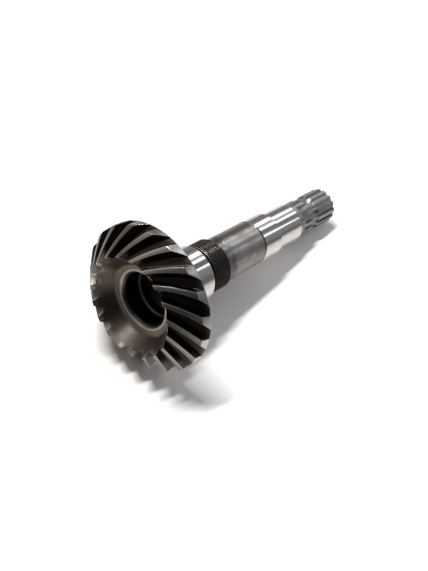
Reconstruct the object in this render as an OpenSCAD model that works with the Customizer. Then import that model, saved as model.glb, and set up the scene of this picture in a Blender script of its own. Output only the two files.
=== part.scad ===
// Bevel gear shaft: a spiral bevel gear with a dished, bored front, forged in one piece with a
// stepped shaft that ends in a spline. Millimetres. The object is drawn on its own axis, with
// the small end of the teeth at z = 0 and the spline at the far end, and then laid down as it
// rests: on the rim of the gear and on the end of the spline.

/* [Bevel gear] */
// Number of teeth
teeth = 19; // [15:1:24]
// Diameter over the tooth tips at the small end
toe_d = 97.2; // [94:0.1:100]
// Diameter over the tooth tips at the large end, where the blank is turned to a cylinder
heel_d = 143.2; // [138:0.1:148]
// Length along the axis of the cone that the tooth tips lie on
tip_cone_l = 20.6; // [18:0.1:23]
// Length along the axis of the cylinder behind that cone
heel_band_l = 11.3; // [9:0.1:13]
// Chamfer at the back of that cylinder
rim_chamfer = 1; // [0.5:0.1:2]
// Radial depth of the tooth spaces at the small end
toe_depth = 10.2; // [9:0.1:11]
// Angle between the axis and the bottoms of the tooth spaces
root_angle = 44; // [43:0.5:44.5]
// Angle between a tooth and the line from its small to its large end, half-way along
spiral_angle = 36; // [32:0.5:38]
// Radius of the curve that the teeth follow
tooth_curve_r = 152.4; // [120:0.1:200]
// Width of a tooth space at its bottom, half-way along
space_w = 5.4; // [4.5:0.1:6]
// How much wider a tooth space gets for each millimetre of its length
space_taper = 0.076; // [0.06:0.001:0.09]
// Slope of the tooth flanks
flank_angle = 22; // [20:0.5:24]

/* [Front of the gear] */
// Diameter of the flat ring round the bore
ring_d = 69.4; // [66:0.1:72]
// Distance of that ring from the small end of the teeth
ring_depth = 18.5; // [17:0.1:20]
// Radius of the hollow corner between the ring and the wall of the dish
dish_fillet = 5; // [2:0.5:8]
// Diameter of the bore in the gear
bore_d = 50.2; // [49.5:0.1:52]
// Chamfer at the mouth of the bore
bore_chamfer = 3; // [2:0.1:5]
// Depth of that bore from the ring
bore_l = 26.5; // [20:0.5:30]
// Diameter of the narrower hole at its end
pilot_d = 47; // [44:0.5:48]
// Depth of the narrower hole, without its conical end
pilot_l = 2; // [1:0.5:6]
// Angle between the two sides of that conical end
drill_angle = 118; // [90:1:130]

/* [Back of the gear] */
// Diameter of the shoulder that the bearing stands against
shoulder_d = 68; // [64:1:80]
// Length of that shoulder
shoulder_l = 14; // [10:0.5:18]
// Width of the grinding groove between the shoulder and the journal
undercut_w = 2; // [1:0.5:3]
// Depth of that groove, whose far side slopes up to the journal
undercut_depth = 0.5; // [0.2:0.1:0.8]

/* [Shaft] */
// Diameter of the journal next to the gear
journal_d = 55; // [52:0.5:56]
// Distance from the back of the gear to the end of that journal
journal_l = 53.8; // [45:0.1:65]
// Diameter of the thread
thread_d = 50; // [48:0.5:51]
// Distance between two turns of the thread
thread_pitch = 2.35; // [1.5:0.05:3]
// Length of the thread
thread_l = 20; // [15:0.5:30]
// Diameter of the relief between the journal and the thread
relief_d = 46; // [44:0.5:47]
// Length of that relief
relief_l = 5.8; // [3:0.1:8]
// Diameter of the plain turned length
plain_d = 44.4; // [43:0.1:45]
// Length of the plain turned length
plain_l = 52.6; // [40:0.1:70]
// Depth of the shallow step at its start
plain_step = 0.3; // [0.1:0.1:0.5]
// Length of that shallow step
plain_step_l = 9.2; // [5:0.1:15]
// Diameter of the second journal
seat_d = 45; // [43:0.5:46]
// Length of the second journal
seat_l = 25; // [15:0.5:35]
// Width of the ring groove in front of the second journal
groove_w = 1.7; // [1:0.1:3]
// Depth of that ring groove
groove_depth = 1.2; // [0.5:0.1:2]
// Diameter of the seal seat
seal_d = 39.6; // [38:0.1:41]
// Length of the seal seat
seal_l = 35.2; // [25:0.1:45]
// Chamfer on the journals
edge = 1; // [0.5:0.1:1.5]

/* [Spline] */
// Number of spline teeth
spline_teeth = 14; // [10:1:18]
// Diameter over the spline teeth
spline_d = 36; // [35:0.1:37]
// Length of the splined end
spline_l = 58.7; // [50:0.1:70]
// Depth of the spline spaces
spline_depth = 2.9; // [2:0.1:3.5]
// Width of a spline space at its bottom
spline_space_w = 3.1; // [2.5:0.1:3.5]
// Slope of each side of a spline space
spline_flank = 12; // [5:1:20]
// Plain length between the seal seat and the spline spaces
spline_start = 4.6; // [3:0.1:8]
// Radius of the tool that leaves the rounded run-out of each space
runout_r = 30; // [15:1:40]
// Distance from the end to the middle of the lock groove
lock_from_end = 32.6; // [28:0.1:38]
// Radius of the hollow of the lock groove
lock_r = 6.7; // [6:0.1:8]
// Depth of the lock groove
lock_depth = 2.95; // [2:0.05:3.5]
// Chamfer at the end of the spline
end_chamfer = 1.8; // [1:0.1:3]
// Diameter of the centre hole in that end, which the shaft turned on while it was machined
centre_d = 8.5; // [6:0.5:12]
// Diameter of the small drilled hole at its bottom
centre_drill_d = 4; // [2:0.5:5]
// Angle between the two sides of its cone
centre_angle = 60; // [60:5:90]

/* [Hidden] */
$fn = 180;
// Overrun of a cutting shape past the face that it opens
past = 1;

// Stations along the axis, from the small end of the teeth
gear_l = tip_cone_l + heel_band_l;
bore_mouth = ring_depth;
bore_end = bore_mouth + bore_l;
shoulder_end = gear_l + shoulder_l;
journal_start = shoulder_end + undercut_w + undercut_depth;
journal_end = gear_l + journal_l;
thread_start = journal_end + relief_l;
thread_end = thread_start + thread_l;
plain_end = thread_end + plain_l;
seat_start = plain_end + groove_w;
seat_end = seat_start + seat_l;
seal_end = seat_end + seal_l;
total_l = seal_end + spline_l;
lock_at = total_l - lock_from_end;
space_start = seal_end + spline_start;
centre_end = total_l - (centre_d - centre_drill_d) / 2 / tan(centre_angle / 2);

// Radii
toe_r = toe_d / 2;
heel_r = heel_d / 2;
ring_r = ring_d / 2;
bore_r = bore_d / 2;
journal_r = journal_d / 2;
thread_r = thread_d / 2;
// The thread is drawn at its full diameter, and its ends slope by the depth of its turns
thread_depth = 0.6134 * thread_pitch;
plain_r = plain_d / 2;
seat_r = seat_d / 2;
seal_r = seal_d / 2;
spline_r = spline_d / 2;

// The wall of the dish runs from its hollow corner, about a point at radius corner_r, to the
// small end of the teeth, and wall_angle is its angle with the axis
wall_angle = atan((toe_r - ring_r) / ring_depth);
corner_r = ring_r - dish_fillet * tan((90 - wall_angle) / 2);

// Tooth spaces: their bottoms lie on a cone, and mid_l and mid_r are its half-way point
root_r = toe_r - toe_depth;
mid_l = gear_l / 2;
mid_r = root_r + mid_l * tan(root_angle);
// Half the length of one cutting shape, its height and its half width
space_reach = gear_l;
space_h = 2 * toe_depth;
space_side = space_h + space_w;
// The two flanks of a space are arcs whose centres lie this far apart along it
centre_shift = space_taper * tooth_curve_r / 2;
// Where a space leaves the blank at the rear rim, and the angle round the axis at which one of its
// sides (1 or -1) does so, worked out in a few rounds because the blank is curved there
rim_l = gear_l - rim_chamfer;
function space_edge(side, angle = 0, rounds = 8) = rounds == 0 ? angle :
    let (
        out = heel_r * cos(angle) - mid_r,
        along = out * sin(root_angle) + (rim_l - mid_l) * cos(root_angle),
        above = out * cos(root_angle) - (rim_l - mid_l) * sin(root_angle),
        flank_r = tooth_curve_r + side * (space_w / 2 + above * tan(flank_angle)),
        centre_x = side * centre_shift * cos(spiral_angle) - tooth_curve_r * sin(spiral_angle),
        centre_y = side * centre_shift * sin(spiral_angle) + tooth_curve_r * cos(spiral_angle),
        y = centre_y - sqrt(pow(flank_r, 2) - pow(along - centre_x, 2)))
    space_edge(side, asin(y / heel_r), rounds - 1);
// A space is so shallow at the rim that its floor may reach the surface before its far side does
first_edge = space_edge(1);
last_edge = min(space_edge(-1), acos((root_r + rim_l * tan(root_angle)) / heel_r));
// Turn that brings the middle of a space to the floor, and half the angle that it takes up there
clocking = -(first_edge + last_edge) / 2;
half_space = (last_edge - first_edge) / 2;

// Rest: the shaft leans from the rim of the gear down to the end of the spline. Two teeth
// stand on the floor with a space between them
rim_drop = heel_r * cos(half_space);
lean = atan((rim_drop - spline_r) / (total_l - end_chamfer - rim_l));
low_x = -toe_r * sin(lean);
high_x = total_l * cos(lean) + (spline_r - end_chamfer) * sin(lean);

// Points of an arc about a centre, from one angle to another
function arc(centre, radius, from, to, steps) = [
    for (i = [0 : steps])
        let (a = from + (to - from) * i / steps) centre + radius * [cos(a), sin(a)]];

// The turned blank of gear and shaft in one profile, from the front ring to the spline's end
module blank() {
    rotate_extrude() polygon([
        [0, bore_mouth],
        each arc([corner_r, bore_mouth - dish_fillet], dish_fillet, 90, wall_angle, 8),
        [toe_r, 0],
        [heel_r, tip_cone_l],
        [heel_r, gear_l - rim_chamfer],
        [heel_r - rim_chamfer, gear_l],
        [shoulder_d / 2, gear_l],
        [shoulder_d / 2, shoulder_end],
        [journal_r - undercut_depth, shoulder_end],
        [journal_r - undercut_depth, shoulder_end + undercut_w],
        [journal_r, journal_start],
        [journal_r, journal_end - edge],
        [journal_r - edge, journal_end],
        [relief_d / 2, journal_end],
        [relief_d / 2, thread_start],
        [thread_r - thread_depth, thread_start],
        [thread_r, thread_start + thread_depth],
        [thread_r, thread_end - thread_depth],
        [thread_r - thread_depth, thread_end],
        [plain_r - plain_step, thread_end],
        [plain_r - plain_step, thread_end + plain_step_l],
        [plain_r, thread_end + plain_step_l],
        [plain_r, plain_end],
        [seat_r - groove_depth, plain_end],
        [seat_r - groove_depth, seat_start],
        [seat_r - edge / 2, seat_start],
        [seat_r, seat_start + edge / 2],
        [seat_r, seat_end - edge],
        [seat_r - edge, seat_end],
        [seal_r, seat_end],
        [seal_r, seal_end - edge],
        [seal_r - edge, seal_end],
        [spline_r, seal_end],
        [spline_r, total_l - end_chamfer],
        [spline_r - end_chamfer, total_l],
        [centre_d / 2, total_l],
        [centre_drill_d / 2, centre_end],
        [centre_drill_d / 2, centre_end - centre_drill_d],
        [0, centre_end - centre_drill_d - centre_drill_d / 2 / tan(drill_angle / 2)]]);
}

// One tooth space, cut as between the outside and the inside blades of a cup-shaped cutter
module tooth_space() {
    spread = tan(flank_angle);
    translate([mid_r, 0, mid_l]) rotate([0, 90 + root_angle, 0]) rotate([0, 0, 180 - spiral_angle])
        difference() {
            intersection() {
                translate([-space_reach, -space_side, 0]) cube([2 * space_reach, 2 * space_side, space_h]);
                translate([centre_shift, -tooth_curve_r, -past])
                    cylinder(
                        r1 = tooth_curve_r + space_w / 2 - past * spread,
                        r2 = tooth_curve_r + space_w / 2 + (space_h + past) * spread,
                        h = space_h + 2 * past);
            }
            translate([-centre_shift, -tooth_curve_r, -past])
                cylinder(
                    r1 = tooth_curve_r - space_w / 2 + past * spread,
                    r2 = tooth_curve_r - space_w / 2 - (space_h + past) * spread,
                    h = space_h + 2 * past);
        }
}

module tooth_spaces() {
    for (i = [0 : teeth - 1]) rotate([0, 0, clocking + i * 360 / teeth]) tooth_space();
}

// The blind bore in the front, with the narrower hole at its end
module bore() {
    rotate_extrude() polygon([
        [0, bore_mouth - past],
        [bore_r + bore_chamfer + past, bore_mouth - past],
        [bore_r, bore_mouth + bore_chamfer],
        [bore_r, bore_end - edge],
        [bore_r - edge, bore_end],
        [pilot_d / 2, bore_end],
        [pilot_d / 2, bore_end + pilot_l],
        [0, bore_end + pilot_l + pilot_d / 2 / tan(drill_angle / 2)]]);
}

// One spline space: a straight-sided groove whose floor rises to the surface in an arc
module spline_space() {
    floor_r = spline_r - spline_depth;
    half_floor = spline_space_w / 2;
    half_top = half_floor + (spline_depth + past) * tan(spline_flank);
    rise = sqrt(pow(runout_r, 2) - pow(runout_r - spline_depth - past, 2));
    intersection() {
        translate([0, 0, space_start]) linear_extrude(total_l - space_start + past)
            polygon([
                [floor_r, -half_floor],
                [spline_r + past, -half_top],
                [spline_r + past, half_top],
                [floor_r, half_floor]]);
        translate([0, half_top + past, 0]) rotate([90, 0, 0]) linear_extrude(2 * (half_top + past))
            polygon([
                each arc([floor_r + runout_r, space_start + rise], runout_r,
                    180 + asin(rise / runout_r), 180, 6),
                [floor_r, total_l + past],
                [spline_r + past, total_l + past]]);
    }
}

module spline_spaces() {
    for (i = [0 : spline_teeth - 1]) rotate([0, 0, (i + 0.5) * 360 / spline_teeth]) spline_space();
}

// The hollow ring round the spline that a locking ball or pin drops into
module lock_groove() {
    translate([0, 0, lock_at])
        rotate_extrude() translate([spline_r - lock_depth + lock_r, 0]) circle(lock_r);
}

module gear_shaft() {
    difference() {
        blank();
        tooth_spaces();
        bore();
        spline_spaces();
        lock_groove();
    }
}

module bevel_gear_shaft() {
    color([0.55, 0.54, 0.52])
        translate([-(low_x + high_x) / 2, 0, rim_drop * cos(lean) + rim_l * sin(lean)])
            rotate([0, 90 + lean, 0]) gear_shaft();
}

bevel_gear_shaft();
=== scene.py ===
"""A spiral bevel gear shaft, lying on a white floor on the rim of its gear and the end of its spline.
Sizes are in mm on the shaft's own axis, from the small end of the teeth, until lay_down."""
import math

import bpy
import numpy as np
from mathutils import Matrix, Vector


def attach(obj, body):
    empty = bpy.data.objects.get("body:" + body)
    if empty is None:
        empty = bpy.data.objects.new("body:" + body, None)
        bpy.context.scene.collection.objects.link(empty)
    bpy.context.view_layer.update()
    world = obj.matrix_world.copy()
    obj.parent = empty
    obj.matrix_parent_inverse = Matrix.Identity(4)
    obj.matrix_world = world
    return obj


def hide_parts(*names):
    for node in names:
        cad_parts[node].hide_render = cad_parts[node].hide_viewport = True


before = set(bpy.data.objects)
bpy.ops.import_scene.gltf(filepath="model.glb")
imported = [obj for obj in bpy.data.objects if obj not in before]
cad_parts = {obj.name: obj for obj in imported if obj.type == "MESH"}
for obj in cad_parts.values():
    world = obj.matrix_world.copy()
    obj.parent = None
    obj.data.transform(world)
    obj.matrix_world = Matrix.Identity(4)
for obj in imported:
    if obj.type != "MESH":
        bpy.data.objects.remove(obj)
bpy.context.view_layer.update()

# The gear, its front and back, and the large journal
# One steel forging with the rest of the shaft. It is turned to a cone over the tooth tips, with a
# short cylinder behind it, and a cup-shaped cutter then mills nineteen curved spaces.
TEETH = 19
TOE_R = 48.6                    # over the teeth at their small end
HEEL_R = 71.6
CONE_L = 20.6
GEAR_L = 31.9
RIM_CHAMFER = 1.0
RIM_L = GEAR_L - RIM_CHAMFER
SKIN = 0.03                     # the drawn rim lies this far inside the solid's
SPLINE_R = 18.0
TOTAL_L = 284.7
END_CHAMFER = 1.8
PITCH = 2 * math.pi / TEETH
ROOT_ANGLE = math.radians(44)
SPIRAL = math.radians(36)
CUTTER_R = 152.4
SPACE_W = 5.4
SPACE_TAPER = 0.076
FLANK = math.tan(math.radians(22))
ROOT_R = TOE_R - 10.2
MID_L = GEAR_L / 2
MID_R = ROOT_R + MID_L * math.tan(ROOT_ANGLE)
SHIFT = SPACE_TAPER * CUTTER_R / 2
CONE_BREAK, RIM_BREAK = 0.7, 0.5
TIP_BREAK = 0.42                # along the tooth tips
TOE_BREAK = 0.55
ROOT_ROUND = 1.5


def soft_min(a, b, reach):
    """The smaller of two values, with the corner where they cross rounded over a short reach."""
    h = np.clip(reach - np.abs(a - b), 0, None) / reach
    return np.minimum(a, b) - h * h * reach / 4


def blank_r(s):
    """Radius of the turned blank over the teeth at a station s."""
    cone = TOE_R + (HEEL_R - TOE_R) * s / CONE_L
    return soft_min(soft_min(cone, HEEL_R - SKIN, CONE_BREAK), HEEL_R + RIM_L - s, RIM_BREAK)


def space_side(s, r, side):
    """Angle round the axis at which one side of a tooth space lies at station s and radius r."""
    centre_x = side * SHIFT * math.cos(SPIRAL) - CUTTER_R * math.sin(SPIRAL)
    centre_y = side * SHIFT * math.sin(SPIRAL) + CUTTER_R * math.cos(SPIRAL)
    angle = np.zeros_like(r)
    for _ in range(14):             # each round brings the angle closer
        out = r * np.cos(angle) - MID_R
        along = out * math.sin(ROOT_ANGLE) + (s - MID_L) * math.cos(ROOT_ANGLE)
        above = out * math.cos(ROOT_ANGLE) - (s - MID_L) * math.sin(ROOT_ANGLE)
        flank_r = CUTTER_R + side * (SPACE_W / 2 + above * FLANK)
        angle = np.arcsin((centre_y - np.sqrt(flank_r ** 2 - (along - centre_x) ** 2)) / r)
    return angle


def corner(before, at, after, steps):
    """Points of a rounded corner from one point to another, bent towards the corner itself."""
    t = np.linspace(0, 1, steps + 1)[:, None]
    return (1 - t) ** 2 * before + 2 * t * (1 - t) * at + t * t * after


def pitch_profile(s):
    """One tooth space and half a land on each side, cut square to the axis at station s.
    Gives points as angle and radius, in the order of rising angle."""
    tip = float(blank_r(s))
    floor_x = MID_R + (s - MID_L) * math.tan(ROOT_ANGLE)
    lip = tip - 0.03
    tops, flanks = [], []
    for side in (1, -1):
        top = float(space_side(s, np.array([tip]), side)[0])
        low = float(space_side(s, np.array([min(floor_x / math.cos(top), tip)]), side)[0])
        low_r = min(floor_x / math.cos(low), lip)
        if low_r > tip - 0.05:                    # the floor comes up through the blank
            top = math.acos(min(floor_x / tip, 1)) + (0.004 if side < 0 else 0)
            low, low_r = top + side * 0.001, lip
        tops.append(top)
        flanks.append((np.array([tip * math.sin(top), tip * math.cos(top)]),
                       np.array([low_r * math.sin(low), low_r * math.cos(low)])))
    (a, b), (d, c) = flanks
    depth = min(np.linalg.norm(a - b), np.linalg.norm(c - d))
    width = np.linalg.norm(c - b)
    brk = min(TIP_BREAK, 0.25 * depth)
    root = min(ROOT_ROUND, 0.45 * depth, 0.38 * width)
    middle = (tops[0] + tops[1]) / 2
    first, last = middle - PITCH / 2, middle + PITCH / 2
    first_edge, last_edge = tops[0] - brk / tip, tops[1] + brk / tip

    def on_land(angle):
        return np.array([tip * math.sin(angle), tip * math.cos(angle)])

    ab, bc, dc = (b - a) / np.linalg.norm(b - a), (c - b) / width, (c - d) / np.linalg.norm(c - d)
    points = np.concatenate([
        on_land(first)[None], on_land((first + first_edge) / 2)[None],
        corner(on_land(first_edge), a, a + ab * brk, 3),
        np.linspace(a + ab * brk, b - ab * root, 7)[1:-1],
        corner(b - ab * root, b, b + bc * root, 4),
        np.linspace(b + bc * root, c - bc * root, 4)[1:-1],
        corner(c - bc * root, c, c - dc * root, 4),
        np.linspace(c - dc * root, d + dc * brk, 7)[1:-1],
        corner(d + dc * brk, d, on_land(last_edge), 3),
        on_land((last_edge + last) / 2)[None]])
    return np.stack([np.arctan2(points[:, 0], points[:, 1]), np.hypot(points[:, 0], points[:, 1])], -1)


# It rests on two teeth at the rim, with a space between them, and on the end of the spline
near_side = float(space_side(RIM_L, np.array([HEEL_R]), 1)[0])
far_side = min(float(space_side(RIM_L, np.array([HEEL_R]), -1)[0]),
               math.acos((ROOT_R + RIM_L * math.tan(ROOT_ANGLE)) / HEEL_R))
CLOCKING = -(near_side + far_side) / 2
RIM_DROP = HEEL_R * math.cos((far_side - near_side) / 2)
LEAN = math.atan((RIM_DROP - SPLINE_R) / (TOTAL_L - END_CHAMFER - RIM_L))
LAID_X = (TOE_R * math.sin(LEAN) - TOTAL_L * math.cos(LEAN) - (SPLINE_R - END_CHAMFER) * math.sin(LEAN)) / 2
LAID_Z = RIM_DROP * math.cos(LEAN) + RIM_L * math.sin(LEAN)


def lay_down(points):
    """Turns points on the shaft's axis, in mm, into places on the floor, in metres."""
    x, y, s = points[..., 0], points[..., 1], points[..., 2]
    return np.stack([
        LAID_X - x * math.sin(LEAN) + s * math.cos(LEAN),
        y,
        LAID_Z - x * math.cos(LEAN) - s * math.sin(LEAN)], -1) / 1000


# The front is turned hollow with a round corner, then faced to a flat ring and bored blind, with a
# chamfered mouth, a soft ledge, a narrower hole and the drill's cone at the bottom.
RING_S = 18.5                   # how deep the flat ring lies
DISH_CORNER_R = 34.7            # where the dish's wall would meet it with no round
DISH_ROUND = 5.0
DISH_ANGLE = math.atan((TOE_R - DISH_CORNER_R) / RING_S)
DISH_R = DISH_CORNER_R - DISH_ROUND * math.tan(math.pi / 4 - DISH_ANGLE / 2)
BORE_R = 25.1
BORE_CHAMFER = 3.0
LEDGE_START, LEDGE_END = 36.5, 40.5
HOLE_R = 23.5
BORE_END = 45.0
HOLE_END = BORE_END + 2.0
DRILL_ANGLE = math.radians(59)  # half of the drill's point
CONE_END = HOLE_END + HOLE_R / math.tan(DRILL_ANGLE)


def rounded(corners, radius):
    """A turned outline through the given corners, each broken by a small round."""
    corners = [np.array(c, float) for c in corners]
    out = [corners[0][None]]
    for a, b, c in zip(corners, corners[1:], corners[2:]):
        reach = min(radius, 0.4 * np.linalg.norm(b - a), 0.4 * np.linalg.norm(c - b))
        before = b + (a - b) / np.linalg.norm(b - a) * reach
        beyond = b + (c - b) / np.linalg.norm(c - b) * reach
        out.append(corner(before, b, beyond, 3))
    out.append(corners[-1][None])
    return np.concatenate(out)


dish_round = np.array([(DISH_R + DISH_ROUND * math.cos(a), RING_S - DISH_ROUND + DISH_ROUND * math.sin(a))
                       for a in np.linspace(DISH_ANGLE, math.pi / 2, 10)])
front = np.concatenate([
    rounded([(0, CONE_END), (HOLE_R, HOLE_END), (HOLE_R, BORE_END), (HOLE_R, LEDGE_END),
             (HOLE_R + 0.15, 39.6), (HOLE_R + 0.6, 38.7), (BORE_R - 0.3, 37.8), (BORE_R, LEDGE_START),
             (BORE_R, 28), (BORE_R, RING_S + BORE_CHAMFER), (BORE_R + BORE_CHAMFER, RING_S),
             (DISH_R, RING_S)], 0.25)[:-1],
    dish_round[::-1][:-1]])

# The teeth start on the wall of the dish. Each column of points follows one line of the tooth
# profile from there to the rim.
stations = np.concatenate([np.linspace(-0.2, 30.2, 190), np.linspace(30.25, GEAR_L, 34)])
profile = np.stack([pitch_profile(s) for s in stations])          # station, column, (angle, radius)
COLUMNS = profile.shape[1]
TOE_ROWS = 24
WALL_ROWS = 7
heel_stations = np.concatenate([
    [20.0, 20.3, 20.6, 20.9, 21.3], np.linspace(22, 30.2, 9), [30.55, 30.8, 30.95, 31.15, 31.5, 31.8, GEAR_L]])
gear_skin = np.zeros((TOE_ROWS + len(heel_stations), COLUMNS, 3))
wall_skin = np.zeros((WALL_ROWS, COLUMNS, 3))
toe_skin = np.zeros((4, COLUMNS, 3))
wall_foot_r, wall_foot_s = dish_round[0]
for j in range(COLUMNS):
    angle, radius = profile[:, j, 0], profile[:, j, 1]
    gap = radius - (TOE_R - stations * math.tan(DISH_ANGLE))
    k = int(np.argmax(gap > 0))
    s0 = stations[k - 1] - gap[k - 1] / (gap[k] - gap[k - 1]) * (stations[k] - stations[k - 1])

    def on_line(s):
        turn, r = np.interp(s, stations, angle), np.interp(s, stations, radius)
        return np.stack([r * np.cos(turn), r * np.sin(turn), np.asarray(s, float)], -1)

    here = on_line(s0)
    ahead = on_line(s0 + 0.3) - here
    ahead /= np.linalg.norm(ahead)
    turn = math.atan2(here[1], here[0])
    start = s0 + TOE_BREAK * ahead[2]
    share = np.linspace(0, 1, TOE_ROWS + 1)[:-1] ** 1.15
    gear_skin[:, j] = on_line(np.concatenate([start + (heel_stations[0] - start) * share, heel_stations]))
    on_wall = here + TOE_BREAK * np.array([
        -math.sin(DISH_ANGLE) * math.cos(turn), -math.sin(DISH_ANGLE) * math.sin(turn), math.cos(DISH_ANGLE)])
    toe_skin[:, j] = corner(on_wall, here, gear_skin[0, j], 4)[:-1]
    on_wall_r = math.hypot(on_wall[0], on_wall[1])
    for i, t in enumerate(np.linspace(1, 0, WALL_ROWS + 1)[:-1]):
        r = on_wall_r + (wall_foot_r - on_wall_r) * t
        wall_skin[i, j] = (r * math.cos(turn), r * math.sin(turn), on_wall[2] + (wall_foot_s - on_wall[2]) * t)

# The back is faced flat, down to a raised shoulder that the larger bearing stands against. A
# narrow groove lets the grinding wheel run out, and the journal beyond it is ground bright.
SHOULDER_R = 34.0
SHOULDER_END = 45.9
GROOVE_L = 2.0
JOURNAL_R = 27.5
JOURNAL_END = 85.7
back = rounded([
    (HEEL_R - RIM_CHAMFER - 2, GEAR_L), (60, GEAR_L), (48, GEAR_L), (SHOULDER_R, GEAR_L),
    (SHOULDER_R, SHOULDER_END), (JOURNAL_R - 0.5, SHOULDER_END), (JOURNAL_R - 0.5, SHOULDER_END + GROOVE_L),
    (JOURNAL_R, SHOULDER_END + GROOVE_L + 0.5), (JOURNAL_R, 60), (JOURNAL_R, 72), (JOURNAL_R, JOURNAL_END - 1),
    (JOURNAL_R - 1, JOURNAL_END), (22, JOURNAL_END)], 0.2)


def turned(outline, angles):
    """Rings of points from a turned outline of radius and station pairs."""
    r, s = outline[:, 0][:, None], outline[:, 1][:, None]
    return np.stack([r * np.cos(angles), r * np.sin(angles), s + 0 * r * angles], -1)


def all_round(part):
    """Repeats one pitch of columns for every tooth."""
    out = []
    for k in range(TEETH):
        c, s = math.cos(k * PITCH + CLOCKING), math.sin(k * PITCH + CLOCKING)
        out.append(part @ np.array([[c, s, 0], [-s, c, 0], [0, 0, 1]]))
    return np.concatenate(out, 1)


wall_rings = all_round(wall_skin)
front_angles = np.arctan2(wall_rings[0, :, 1], wall_rings[0, :, 0])
back_angles = np.arange(TEETH * COLUMNS) * 2 * math.pi / (TEETH * COLUMNS) + CLOCKING + profile[-1, 0, 0]
head_rings = np.concatenate([
    turned(front, front_angles), wall_rings, all_round(toe_skin), all_round(gear_skin), turned(back, back_angles)])


class Wire:
    """An output in a shader. The usual operators stand for the nodes that do the sums."""

    def __init__(self, socket):
        self.socket = socket

    def feed(self, made, sockets):
        """Sets the sockets of a node, each to a value or to a link from another output."""
        for name, value in sockets.items():
            if isinstance(value, Wire):
                self.socket.id_data.links.new(value.socket, made.inputs[name])
            else:
                made.inputs[name].default_value = value

    def node(self, kind, settings, sockets, out=0):
        """Adds any other node to the same shader and gives one of its outputs."""
        made = self.socket.id_data.nodes.new("ShaderNode" + kind)
        for name, value in settings.items():
            setattr(made, name, value)
        self.feed(made, sockets)
        return Wire(made.outputs[out])

    def sum(self, how, a, b):
        if any(isinstance(w, tuple) or isinstance(w, Wire) and w.socket.type in ("VECTOR", "RGBA") for w in (a, b)):
            a, b = (w if isinstance(w, (Wire, tuple)) else (w, w, w) for w in (a, b))
            return self.node("VectorMath", {"operation": how}, {0: a, 1: b})
        return self.node("Math", {"operation": how}, {0: a, 1: b})

    def __add__(self, other): return self.sum("ADD", self, other)
    def __radd__(self, other): return self.sum("ADD", other, self)
    def __sub__(self, other): return self.sum("SUBTRACT", self, other)
    def __rsub__(self, other): return self.sum("SUBTRACT", other, self)
    def __mul__(self, other): return self.sum("MULTIPLY", self, other)
    def __rmul__(self, other): return self.sum("MULTIPLY", other, self)
    def __truediv__(self, other): return self.sum("DIVIDE", self, other)
    def __rtruediv__(self, other): return self.sum("DIVIDE", other, self)
    def __pow__(self, other): return self.sum("POWER", self, other)
    def __rpow__(self, other): return self.sum("POWER", other, self)

    def larger(self, other):
        return self.sum("MAXIMUM", self, other)

    def part(self, axis):
        return self.node("SeparateXYZ", {}, {0: self}, axis)

    def step(self, low, high, start=0.0, end=1.0):
        """Rises smoothly from start to end while this value goes from low to high."""
        return self.node("MapRange", {"interpolation_type": "SMOOTHSTEP"},
                         {0: self, 1: low, 2: high, 3: start, 4: end})

    def between(self, first, second):
        """Blends two colours, with this value as the share of the second."""
        return self.node("Mix", {"data_type": "RGBA"}, {0: self, 6: first, 7: second}, 2)

    def noise(self, scale, detail=2.0, rough=0.5):
        return self.node("TexNoise", {}, {"Vector": self, "Scale": scale, "Detail": detail, "Roughness": rough})


def join(x, y, z):
    return x.node("CombineXYZ", {}, {0: x, 1: y, 2: z})


def paint_tin(name):
    """A new material, and its main shader's output to build the rest from."""
    mat = bpy.data.materials.new(name)
    mat.use_nodes = True
    return mat, Wire(mat.node_tree.nodes["Principled BSDF"].outputs[0])


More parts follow.
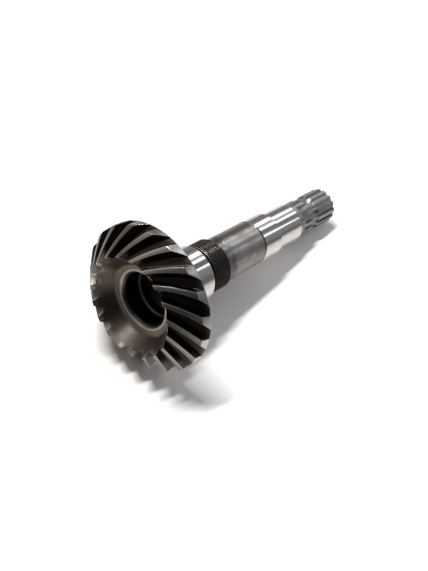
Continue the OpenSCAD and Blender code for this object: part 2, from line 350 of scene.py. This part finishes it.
def steel(name, colour, rough, marks=0.0, patch=0.0, grain=0.0, edge=None, fine=2.2, milled=False, side=None,
          stain=None, sectors=0.0, dull=0.0):
    """Steel with turning marks that run round the axis, or milling marks along the teeth, cloudy
    patches, a fine grain, and edges rubbed to a colour and roughness of their own, which also
    carry painted highlights and sheen. side is the angle of the side painted lighter, as painted
    light and shade, then where it starts and ends, and its shades. stain is where an oily length
    ends, and its shades."""
    mat, skin = paint_tin(name)
    place = skin.node("Attribute", {"attribute_name": "shop"}, {}, "Vector")
    x, y, s = place.part(0), place.part(1), place.part(2)
    r = (x * x + y * y) ** 0.5
    if milled:
        cut = skin.node("Attribute", {"attribute_name": "cut"}, {}, "Vector")
        lines = join(cut.part(0) * fine, cut.part(1) * 0.05, cut.part(2) * 7.0)
    else:
        lines = join(x / r * 2.5, y / r * 2.5, (2.3 * r - 1.7 * s) * fine)
    line = lines.noise(1.0, 3.0, 0.6) - 0.5
    broad = (lines * (0.4 if milled else 0.22)).noise(1.0) - 0.5
    cloud = (place * 0.07).noise(1.0, 3.0, 0.55) - 0.5
    grit = (place * 3.5).noise(1.0, 2.0, 0.6) - 0.5
    shade = 1.0 + line * (1.6 * marks) + broad * (1.4 * marks) + cloud * (2.0 * patch) + grit * (1.4 * grain)
    if sectors:
        shade = shade * (1.0 + ((join(x / r, y / r, r * 0.01) * 2.2).noise(1.0) - 0.5) * sectors)
    # Painted light and shade: the side at the given angle is made lighter than the rest.
    if side:
        a = math.radians(side[0])
        shade = shade * ((x * math.cos(a) + y * math.sin(a)) / r + cloud * 0.5).step(*side[1:])
    if stain:
        shade = shade * (s + cloud * 30.0 + broad * 6.0).step(*stain)
    paint = shade * colour
    gloss = rough * (1.0 + line * (1.2 * marks) - cloud * (1.5 * patch) + grit * grain)
    metal = 1.0
    if edge:
        wear_and_sheen = skin.node("Attribute", {"attribute_name": "wear_and_sheen"}, {}, "Fac")
        share = wear_and_sheen.step(0.25, 0.9) * (0.75 + grit * 1.2)
        # The rubbed edges follow the same painted light and shade.
        if side:
            share = share * shade.step(0.2, 1.3, 0.25, 1.1)
        paint = share.between(paint, (*edge[:3], 1.0))
        gloss = gloss + share * (edge[3] - rough)
        if dull:
            metal = 1.0 - share * dull
    height = line * (0.35 * marks) + grit * (0.3 * grain)
    bump = height.node("Bump", {}, {"Height": height, "Strength": 0.5, "Distance": 0.00006})
    skin.feed(skin.socket.node, {"Base Color": paint, "Roughness": gloss, "Metallic": metal, "Normal": bump})
    return mat


def build(name, rings, finishes, kinds, wear_and_sheen=None, cut=None, close_first=True, close_last=True):
    """Makes one closed piece from rings of points. kinds gives each row of faces, or each face,
    its place in the list of finishes."""
    n, m = rings.shape[:2]
    i, j = np.meshgrid(np.arange(n - 1), np.arange(m), indexing="ij")
    after = (j + 1) % m
    faces = np.stack([i * m + j, i * m + after, (i + 1) * m + after, (i + 1) * m + j], -1).reshape(-1, 4).tolist()
    kinds = np.broadcast_to(kinds if kinds.ndim == 2 else kinds[:, None], (n - 1, m)).reshape(-1).tolist()
    points = lay_down(rings).reshape(-1, 3).tolist()
    shop = rings.reshape(-1, 3).tolist()
    cut = (np.zeros((n * m, 3)) if cut is None else cut.reshape(-1, 3)).tolist()
    wear_and_sheen = (np.zeros(n * m) if wear_and_sheen is None else wear_and_sheen.reshape(-1)).tolist()
    for row, closed in ((0, close_first), (n - 1, close_last)):
        if not closed:
            continue
        middle = np.array([0, 0, rings[row, :, 2].mean()])
        hub = len(points)
        points.append(lay_down(middle).tolist())
        shop.append([0.3, 0.0, float(middle[2])])
        cut.append([0.0, 0.0, 0.0])
        wear_and_sheen.append(0.0)
        for k in range(m):
            a, b = row * m + k, row * m + (k + 1) % m
            faces.append([hub, b, a] if row == 0 else [hub, a, b])
            kinds.append(kinds[0] if row == 0 else kinds[(n - 1) * m - 1])
    mesh = bpy.data.meshes.new(name)
    mesh.from_pydata(points, [], faces)
    mesh.polygons.foreach_set("use_smooth", [True] * len(mesh.polygons))
    mesh.polygons.foreach_set("material_index", kinds)
    layers = (("shop", "FLOAT_VECTOR", shop), ("cut", "FLOAT_VECTOR", cut), ("wear_and_sheen", "FLOAT", wear_and_sheen))
    for layer, kind, values in layers:
        store = mesh.attributes.new(layer, kind, "POINT").data
        store.foreach_set("value" if kind == "FLOAT" else "vector", np.array(values, float).reshape(-1))
    mesh.validate()
    mesh.set_sharp_from_angle(angle=math.radians(42))
    for finish in finishes:
        mesh.materials.append(finish)
    piece = bpy.data.objects.new(name, mesh)
    bpy.context.collection.objects.link(piece)
    shading = piece.modifiers.new("even shading", "WEIGHTED_NORMAL")
    shading.keep_sharp = True
    shading.weight = 70
    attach(piece, "root")
    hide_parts("bevel_gear_shaft")
    return piece


# The spaces are black with hardening scale and oil, the turned tips and dish are browner, and
# only the rim band and the journal are bright.
spaces = steel("oiled_tooth_space", (0.045, 0.036, 0.031), 0.27, marks=0.5, patch=0.25, grain=0.1,
               edge=(0.42, 0.4, 0.38, 0.32), milled=True, fine=1.1, dull=0.5)
lands = steel("turned_land", (0.225, 0.209, 0.187), 0.3, marks=0.25, patch=0.25, grain=0.1,
              edge=(0.55, 0.53, 0.5, 0.3))
band = steel("turned_rim_band", (0.62, 0.61, 0.605), 0.25, marks=0.25, patch=0.12, grain=0.05,
             edge=(0.7, 0.69, 0.67, 0.2))
dish = steel("turned_dish", (0.138, 0.116, 0.099), 0.36, marks=0.3, patch=0.3, grain=0.12,
             edge=(0.5, 0.48, 0.44, 0.28), sectors=1.8)
bore = steel("dark_bore", (0.026, 0.023, 0.023), 0.45, marks=0.12, patch=0.2, edge=(0.5, 0.46, 0.45, 0.42))
ground = steel("ground_journal", (0.8, 0.79, 0.78), 0.125, marks=0.1, patch=0.06, fine=3.0)
rear = steel("turned_back", (0.3, 0.28, 0.26), 0.36, marks=0.4, patch=0.2, grain=0.1)
ring = steel("turned_ring", (0.15, 0.131, 0.114), 0.36, marks=0.35, patch=0.2, grain=0.08,
             edge=(0.5, 0.47, 0.42, 0.25))
mouth = steel("bore_chamfer", (0.058, 0.053, 0.047), 0.32, marks=0.3, patch=0.2, edge=(0.5, 0.47, 0.42, 0.25))
SPACE, LAND, BAND, DISH, BORE, GROUND, REAR, RING, MOUTH = range(9)

first_toe = len(front) + WALL_ROWS
first_gear = first_toe + len(toe_skin)
first_back = first_gear + len(gear_skin)
head_kinds = np.full((len(head_rings) - 1, COLUMNS), DISH)
land_columns = [0, 1, 2, COLUMNS - 3, COLUMNS - 2, COLUMNS - 1]
r, s = front.T
head_kinds[:len(front)][s > RING_S + 0.6] = BORE
head_kinds[:len(front)][(s > RING_S + 0.2) & (s < RING_S + BORE_CHAMFER + 0.2)
                        & (r < BORE_R + BORE_CHAMFER - 0.1)] = MOUTH
on_ring = (r >= BORE_R + BORE_CHAMFER - 0.4) & (s <= RING_S + 0.3)
head_kinds[:len(front)][on_ring] = np.where(r[on_ring] < DISH_R + 1.5, RING, DISH)[:, None]
for i in range(first_toe + 2, first_back):
    head_kinds[i] = SPACE
    head_kinds[i, land_columns] = LAND if gear_skin[max(i - first_gear, 0), 0, 2] < CONE_L - 0.1 else BAND
head_kinds[first_back - 1:] = REAR
head_kinds[first_back:][back[:-1, 1] >= SHOULDER_END + GROOVE_L - 0.3] = GROUND

# Edges are rubbed bright, and painted paler as painted highlights along them: more along the outer
# side of each tooth, at the heel and round the rim. Each column of points has its share.
EDGE_WEAR_AND_SHEEN = {0: 0.45, 1: 0.38, 2: 0.3, 3: 0.6, 4: 0.7, 5: 0.4, COLUMNS - 5: 0.6, COLUMNS - 4: 1, COLUMNS - 3: 1,
             COLUMNS - 2: 0.9, COLUMNS - 1: 0.6}
head_wear_and_sheen = np.zeros((len(head_rings), COLUMNS))
head_wear_and_sheen[first_toe - 1:first_gear + 1] = 0.45
head_wear_and_sheen[first_toe - 1:first_gear + 2, land_columns] = 0.9
for j, share in EDGE_WEAR_AND_SHEEN.items():
    head_wear_and_sheen[first_gear:first_back, j] = share
# Painted sheen on the spaces near the heel.
head_wear_and_sheen[first_gear:first_back, 6:COLUMNS - 5] = np.clip((gear_skin[:, 6:COLUMNS - 5, 2] - 23) / 8, 0, 1) * 0.5
for i, points in enumerate(gear_skin):
    s = points[0, 2]
    if abs(s - CONE_L) < 0.2 or s > RIM_L - 0.2:
        outside = np.hypot(points[:, 0], points[:, 1]) > blank_r(s) - 0.1
        head_wear_and_sheen[first_gear + i] = np.maximum(head_wear_and_sheen[first_gear + i], 0.9 * outside)
for i, (r, s) in enumerate(front):
    if abs(s - RING_S) < 0.35 and abs(r - BORE_R - BORE_CHAMFER) < 0.35:
        head_wear_and_sheen[i] = 0.8
    # A pale band on the bore's ledge: a painted highlight.
    if LEDGE_START + 0.4 < s < LEDGE_END - 0.6:
        head_wear_and_sheen[i] = 1.0
head_wear_and_sheen = np.tile(head_wear_and_sheen, (1, TEETH))

# On one side of the gear the small ends of the spaces are painted paler and duller too: painted light on that side
PAINTED_TOE_L = 12.0
PAINTED_TOE_FROM, PAINTED_TOE_TO = 15, 150  # degrees round the axis, from the floor
gear_rings = head_rings[first_gear:first_back]
around = np.degrees(np.arctan2(gear_rings[:, :, 1], gear_rings[:, :, 0]))
painted_toe_light = np.clip((PAINTED_TOE_L - gear_rings[:, :, 2]) / PAINTED_TOE_L, 0, 1) ** 0.6
painted_toe_light *= np.tile(np.concatenate([np.zeros(6), np.linspace(1.0, 0.45, COLUMNS - 11), np.zeros(5)]), TEETH)
painted_toe_light *= np.clip((around - PAINTED_TOE_FROM) / 15, 0, 1) * np.clip((PAINTED_TOE_TO - around) / 25, 0, 1)
head_wear_and_sheen[first_gear:first_back] = np.maximum(head_wear_and_sheen[first_gear:first_back], painted_toe_light)

# Where each point lies for the milling marks: across the space, along the axis, and which tooth
middle = profile[len(profile) // 2]
across = np.concatenate([[0], np.cumsum(np.hypot(np.diff(middle[:, 0]) * middle[1:, 1], np.diff(middle[:, 1])))])
head_cut = np.zeros((len(head_rings), TEETH, COLUMNS, 3))
head_cut[..., 0] = across
head_cut[first_gear:first_back, :, :, 1] = gear_skin[:, None, :, 2]
head_cut[..., 2] = np.arange(TEETH)[:, None]
build("gear_and_journal", head_rings, [spaces, lands, band, dish, bore, ground, rear, ring, mouth],
      np.tile(head_kinds, (1, TEETH)), head_wear_and_sheen, head_cut, close_first=False)

# The thread
# A fine right-hand thread cut on the same forging, for the slotted nut that holds the larger
# bearing. It is black and oily, with its crests rubbed and painted paler as a sheen along them, and
# its upper side painted lighter as painted light.
THREAD_R = 25.0
THREAD_PITCH = 2.35
THREAD_START, THREAD_END = 89.2, 111.5
THREAD_DEPTH = 0.6134 * THREAD_PITCH
ROOT_FLAT, SLOPE = 0.1, 0.78    # shares of half a pitch
INNER_R = 22.5                  # where the ends of the thread close inside the shaft
round_angles = np.linspace(0, 2 * math.pi, 257)[:-1]
thread_rows = np.arange(THREAD_START, THREAD_END + 0.01, THREAD_PITCH / 20)
turns = np.mod(thread_rows[:, None] / THREAD_PITCH - round_angles[None, :] / (2 * math.pi), 1)
ramp = np.abs(turns * 2 - 1)
r = THREAD_R - THREAD_DEPTH * (1 - np.clip((ramp - ROOT_FLAT) / SLOPE, 0, 1))
from_end = np.minimum(thread_rows - THREAD_START, THREAD_END - thread_rows)[:, None] + 0 * r
r = soft_min(r, THREAD_R - THREAD_DEPTH + from_end, 0.2)
thread_rings = np.concatenate([
    turned(np.array([(INNER_R, THREAD_START)]), round_angles),
    np.stack([r * np.cos(round_angles), r * np.sin(round_angles), thread_rows[:, None] + 0 * r], -1),
    turned(np.array([(INNER_R, THREAD_END)]), round_angles)])
crest_wear_and_sheen = np.pad(np.clip((ramp - 0.7) / 0.2, 0, 1), ((1, 1), (0, 0)))
# Painted light and shade: the upper side is lighter than the underside.
black = steel("black_thread", (0.022, 0.02, 0.019), 0.45, marks=0.2, patch=0.2, edge=(0.4, 0.385, 0.36, 0.38),
              side=(176, -0.2, 0.95, 0.4, 1.6))
build("nut_thread", thread_rings, [black], np.zeros(len(thread_rings) - 1, int), crest_wear_and_sheen)

# The shaft behind the thread
# The same forging, turned in one setting: a long plain length with a very shallow step, a ring
# groove, the smaller bearing's seat and the seal seat. The plain length is left as turned and
# stained by the nut's oil, with a painted highlight along one side, and the seats are ground.
RELIEF_R = 23.0
CORE_R = 23.4
STEP_R, STEP_L = 21.9, 9.2
PLAIN_R = 22.2
PLAIN_END = 164.1
RING_GROOVE_R = 21.3
SEAT_START = 165.8
SEAT_R = 22.5
SEAT_END = 190.8
SEAL_R = 19.8
SEAL_END = 226.0
SEAL_CHAMFER = 1.0
shaft_line = rounded([
    (0, JOURNAL_END), (RELIEF_R, JOURNAL_END), (RELIEF_R, THREAD_START), (CORE_R, THREAD_START),
    (CORE_R, THREAD_END), (STEP_R, THREAD_END), (STEP_R, THREAD_END + STEP_L), (PLAIN_R, THREAD_END + STEP_L),
    (PLAIN_R, 140), (PLAIN_R, PLAIN_END), (RING_GROOVE_R, PLAIN_END), (RING_GROOVE_R, SEAT_START),
    (SEAT_R - 0.5, SEAT_START), (SEAT_R, SEAT_START + 0.5), (SEAT_R, SEAT_END - 1), (SEAT_R - 1, SEAT_END),
    (SEAL_R, SEAT_END), (SEAL_R, SEAL_END - SEAL_CHAMFER), (SEAL_R - SEAL_CHAMFER, SEAL_END),
    (SPLINE_R - 1, SEAL_END)], 0.12)
# Painted highlight: a band along one side of the plain length is made brighter.
satin = steel("satin_shaft", (0.34, 0.328, 0.315), 0.32, marks=0.035, patch=0.36, grain=0.06,
              side=(-150, 0.72, 0.97, 0.82, 1.5), stain=(112.0, 126.0, 0.55, 1.0))
s = shaft_line[:-1, 1]
SATIN, BLACK, SEATS, HIDDEN = range(4)
shaft_kinds = np.select([s < THREAD_START - 0.05, s < THREAD_END + 0.1,
                         (s > SEAT_START - 0.1) & (s < SEAL_END - 0.8)], [HIDDEN, BLACK, SEATS], SATIN)
build("shaft", turned(shaft_line, round_angles), [satin, black, ground, bore], shaft_kinds, close_first=False)

# The spline
# The driven end of the forging, with fourteen straight teeth, milled with rounded run-outs. A
# hollow ring is turned across them for a locking pin, and a centre hole is drilled in the end.
SPLINES = 14
SPACE_START = 230.6
FLOOR_R = SPLINE_R - 2.9
RUNOUT_R = 30.0
RUNOUT_RISE = 3.9
HALF_FLOOR = 1.55
SPLINE_FLANK = math.tan(math.radians(12))
LOCK_AT, LOCK_R, LOCK_DEPTH = 252.1, 6.7, 2.95
CENTRE_R, CENTRE_DRILL_R = 4.25, 2.0
END_S = TOTAL_L - 0.02          # just inside the solid's end


def spline_row(s):
    """One spline pitch cut square to the axis, as angle and radius."""
    runout_l = math.sqrt(RUNOUT_R ** 2 - (RUNOUT_R - RUNOUT_RISE) ** 2)
    floor = FLOOR_R
    if s < SPACE_START:
        floor = SPLINE_R + 1
    elif s < SPACE_START + runout_l:
        floor += RUNOUT_R - math.sqrt(RUNOUT_R ** 2 - (SPACE_START + runout_l - s) ** 2)
    floor = min(floor, SPLINE_R - 0.01)
    top_half = HALF_FLOOR + (SPLINE_R - FLOOR_R) * SPLINE_FLANK
    low_half = top_half - (SPLINE_R - floor) * SPLINE_FLANK
    deep = min(1, (SPLINE_R - floor) / (SPLINE_R - FLOOR_R) * 2)
    brk, root = 0.3 * deep, 0.45 * deep
    a, b = np.array([-top_half, math.sqrt(SPLINE_R ** 2 - top_half ** 2)]), np.array([-low_half, floor])
    ab = (b - a) / np.linalg.norm(b - a)
    edge = math.atan2(a[0], a[1]) - brk / SPLINE_R
    land = SPLINE_R * np.array([(math.sin(t), math.cos(t)) for t in np.linspace(-math.pi / SPLINES, edge, 4)])
    left = np.concatenate([
        land[:-1],
        corner(land[-1], a, a + ab * brk, 2),
        np.linspace(a + ab * brk, b - ab * root, 4)[1:-1],
        corner(b - ab * root, b, b + np.array([root, 0]), 3)])
    points = np.concatenate([left, (left * [-1, 1])[::-1][:-1]])
    return np.arctan2(points[:, 0], points[:, 1]), np.hypot(points[:, 0], points[:, 1])


spline_rings = []
for s in np.concatenate([
        [SEAL_END, 226.1], np.linspace(228, SPACE_START, 3), np.linspace(SPACE_START + 0.6, 245, 16),
        np.linspace(LOCK_AT - LOCK_R + 0.5, LOCK_AT + LOCK_R - 0.5, 24),
        np.linspace(260, TOTAL_L - END_CHAMFER - 0.2, 8),
        [TOTAL_L - END_CHAMFER + 0.1, TOTAL_L - 1.2, TOTAL_L - 0.6, TOTAL_L - 0.06, END_S]]):
    angle, r = spline_row(s)
    r = np.minimum(r, SPLINE_R + TOTAL_L - END_CHAMFER - s)
    if abs(s - LOCK_AT) < LOCK_R - 0.01:
        r = soft_min(r, SPLINE_R - LOCK_DEPTH + LOCK_R - math.sqrt(LOCK_R ** 2 - (s - LOCK_AT) ** 2), 0.3)
    turn = ((np.arange(SPLINES)[:, None] + 0.5) * 2 * math.pi / SPLINES + angle).reshape(-1)
    r = np.tile(r, SPLINES)
    spline_rings.append(np.stack([r * np.cos(turn), r * np.sin(turn), np.full(len(turn), s)], -1))
# The end face goes on with the angles of the last ring
end_line = rounded([(13, END_S), (8, END_S), (CENTRE_R, END_S), (CENTRE_DRILL_R, TOTAL_L - 3.9),
                    (CENTRE_DRILL_R, TOTAL_L - 7.9), (0, TOTAL_L - 9.1)], 0.1)
spline_rings = np.concatenate([spline_rings, turned(end_line, turn)])
# Painted light and shade: the upper side is lighter than the underside.
splined = steel("spline_steel", (0.36, 0.352, 0.35), 0.36, marks=0.2, patch=0.2, grain=0.12,
                side=(176, -0.5, 0.95, 0.62, 1.3))
build("spline_end", spline_rings, [splined], np.zeros(len(spline_rings) - 1, int), close_last=False)

# The white floor
# A sheet of matt white board, wide enough to fill the picture. A warm tint painted round the gear
# stands in for the light bounced off it, and it turns plain white far away, where the lamp falls off.
bpy.ops.mesh.primitive_plane_add(size=12, location=(0, 0, 0))
floor = bpy.context.object
floor.name = "floor"


def seen_by_eye(start):
    """1 for rays from the camera and for those that metal or glass send on."""
    camera, glossy, passed = (start.node("LightPath", {}, {}, f"Is {kind} Ray")
                              for kind in ("Camera", "Glossy", "Transmission"))
    return camera.larger(glossy).larger(passed)


board, board_skin = paint_tin("white_board")
place = board_skin.node("TexCoord", {}, {}, "Object")
tone = 0.97 + ((place * 900.0).noise(1.0) - 0.5) * 0.02
# Painted bounce light: a warm tint round the gear.
from_gear = place.node("VectorMath", {"operation": "DISTANCE"}, {0: place, 1: (-0.12, 0.06, 0.0)}, 1)
board_skin.feed(board_skin.socket.node, {
    "Base Color": from_gear.step(0.03, 0.15).between((1.0, 0.945, 0.89, 1.0), (1.0, 1.0, 0.998, 1.0)) * tone,
    "Roughness": 0.85, "Specular IOR Level": 0.2})
far = place.node("VectorMath", {"operation": "LENGTH"}, {0: place}, 1).step(0.4, 1.3)
plain_white = place.node("Emission", {}, {"Color": (1, 1, 1, 1), "Strength": 1.0})
board_look = place.node("MixShader", {}, {0: far * seen_by_eye(place), 1: board_skin, 2: plain_white})
board_look.feed(board.node_tree.nodes["Material Output"], {"Surface": board_look})
floor.data.materials.append(board)

# The room
# White all round to the eye. The light that fills the shadow is even and a little cool, and comes
# mostly from the right, so it is darkest in front of the gear.
world = bpy.data.worlds.new("studio")
bpy.context.scene.world = world
world.use_nodes = True
room = Wire(world.node_tree.nodes["Background"].outputs[0])
seen = seen_by_eye(room)
way = room.node("TexCoord", {}, {}, "Generated")
fill = way.node("VectorMath", {"operation": "DOT_PRODUCT"}, {0: way, 1: (0.62, -0.78, 0.1)}, 1)
room.feed(room.socket.node, {
    "Color": seen.between((0.965, 0.955, 0.99, 1), (1, 1, 1, 1)),
    "Strength": seen + (1 - seen) * fill.step(-0.5, 0.95, 0.08, 0.69)})

# The tent
# A round tent of dark card that only the steel sees. Paler sheets hang in it, each given as its
# direction, how wide it spreads and its colour, and make the soft greys on the dish and the teeth.
TENT_R = 3.2
SHEETS = (
    (115, 4, 80, (0.22, 0.2, 0.19)), (-14, 0, 60, (0.18, 0.185, 0.195)), (148, 38, 30, (0.41, 0.385, 0.34)),
    (46, 6, 30, (0.16, 0.155, 0.15)), (18, 34, 24, (0.3, 0.3, 0.3)), (190, 26, 34, (0.13, 0.12, 0.11)),
    (-48, 26, 26, (0.05, 0.06, 0.07)))


def only_reflected(thing):
    """Leaves a thing out of all that is seen and lit, apart from what shiny surfaces reflect."""
    thing.visible_camera = thing.visible_diffuse = thing.visible_shadow = thing.visible_transmission = False


bpy.ops.mesh.primitive_uv_sphere_add(segments=48, ring_count=24, radius=TENT_R)
tent = bpy.context.object
tent.name = "tent"
card, card_skin = paint_tin("card")
way = card_skin.node("TexCoord", {}, {}, "Object") * (1 / TENT_R)
tone = (0.02, 0.02, 0.024)
for azimuth, elevation, reach, colour in SHEETS:
    a, e = math.radians(azimuth), math.radians(elevation)
    towards = (math.cos(a) * math.cos(e), math.sin(a) * math.cos(e), math.sin(e))
    facing = way.node("VectorMath", {"operation": "DOT_PRODUCT"}, {0: way, 1: towards}, 1)
    tone = facing.step(math.cos(math.radians(reach)), math.cos(math.radians(reach * 0.2))) * colour + tone
card_look = way.node("Emission", {}, {"Color": tone, "Strength": 1.0})
card_look.feed(card.node_tree.nodes["Material Output"], {"Surface": card_look})
tent.data.materials.append(card)
only_reflected(tent)

# The mat
# What the steel sees of the floor: warm grey card, dark right under the shaft, where its own
# shadow lies, and paler further out on the lit side.
MAT_HALF = 0.1                  # half the length that the shadow lies along
bpy.ops.mesh.primitive_plane_add(size=6, location=(-0.02, 0, 0.0004))
mat_card = bpy.context.object
mat_card.name = "dark_mat"
felt, felt_skin = paint_tin("felt")
place = felt_skin.node("TexCoord", {}, {}, "Object")
x, y = place.part(0), place.part(1)
past = (x.node("Math", {"operation": "ABSOLUTE"}, {0: x}) - MAT_HALF).larger(0.0)
away = (past * past + y * y) ** 0.5
lit_side = y.step(-0.03, 0.1)
light = away.step(0.02, 0.3, 0.74, 0.14) * (1 - lit_side) + away.step(0.02, 1.3, 0.86, 0.42) * lit_side
light = light * away.step(0.0, 0.045, 0.36, 1.0)
felt_glow = place.node("Emission", {}, {"Color": light * (1.0, 0.925, 0.85), "Strength": 1.0})
clear = place.node("BsdfTransparent", {}, {})
felt_look = place.node("MixShader", {}, {0: away.step(0.05, 0.3, 0.7, 1.0), 1: clear, 2: felt_glow})
felt_look.feed(felt.node_tree.nodes["Material Output"], {"Surface": felt_look})
mat_card.data.materials.append(felt)
only_reflected(mat_card)


# The lamps
# One long narrow lamp high on the far side lights everything and throws the shadow. Three white
# sheets that light only the steel make the long bright bands on the journals.
def stand(thing, right, up, back, at):
    """Puts a lamp or the camera in its place, given the ways that its three axes point."""
    thing.matrix_world = Matrix((
        (right.x, up.x, back.x, at.x), (right.y, up.y, back.y, at.y), (right.z, up.z, back.z, at.z), (0, 0, 0, 1)))


def softbox(name, azimuth, elevation, distance, width, height, glow, turn=0):
    """A flat lamp that faces the shaft. Its direction is in degrees and its sizes in metres."""
    aim = Vector((-0.03, 0, 0.05))
    light = bpy.data.lights.new(name, "AREA")
    light.shape = "RECTANGLE"
    light.size, light.size_y = width, height
    light.energy = glow * math.pi * width * height
    lamp = bpy.data.objects.new(name, light)
    bpy.context.collection.objects.link(lamp)
    a, e = math.radians(azimuth), math.radians(elevation)
    way = Vector((math.cos(a) * math.cos(e), math.sin(a) * math.cos(e), math.sin(e)))
    side = Vector((-math.sin(a), math.cos(a), 0))
    if turn:
        side = Vector((math.cos(math.radians(turn)), math.sin(math.radians(turn)), 0))
        side = (side - way * side.dot(way)).normalized()
    stand(lamp, side, way.cross(side), way, aim + way * distance)
    return lamp


softbox("key", 85.6, 73.7, 3.0, 1.22, 0.18, 152, turn=-15.5)
for sheet in (softbox("sheet_left", 22, 31, 2.0, 0.44, 0.6, 1.35),
              softbox("sheet_right", -3, 36, 2.0, 0.3, 0.6, 1.6),
              softbox("sheet_edge", -30.5, 25, 2.0, 0.16, 0.5, 1.7)):
    sheet.visible_diffuse = False

# The camera
# It stands in front of the gear, a little to one side, and looks down along the shaft. Its place
# was worked out from the outlines of the turned steps.
FRAME_H = 571
FOCUS = 1000                    # in the same measure as the picture's height
EYE_AT = Vector((-0.51194, -0.43679, 0.74594))
RIGHT, UP, AHEAD = (Vector((0.69049, -0.72271, 0.03027)), Vector((0.52347, 0.52814, 0.66862)),
                    Vector((0.4992, 0.44583, -0.74299)))
camera = bpy.data.cameras.new("camera")
eye = bpy.data.objects.new("camera", camera)
bpy.context.collection.objects.link(eye)
bpy.context.scene.camera = eye
camera.sensor_width = 36
camera.lens = camera.sensor_width * FOCUS / FRAME_H
stand(eye, RIGHT, UP, -AHEAD, EYE_AT)
bpy.context.scene.view_settings.view_transform = "Standard"
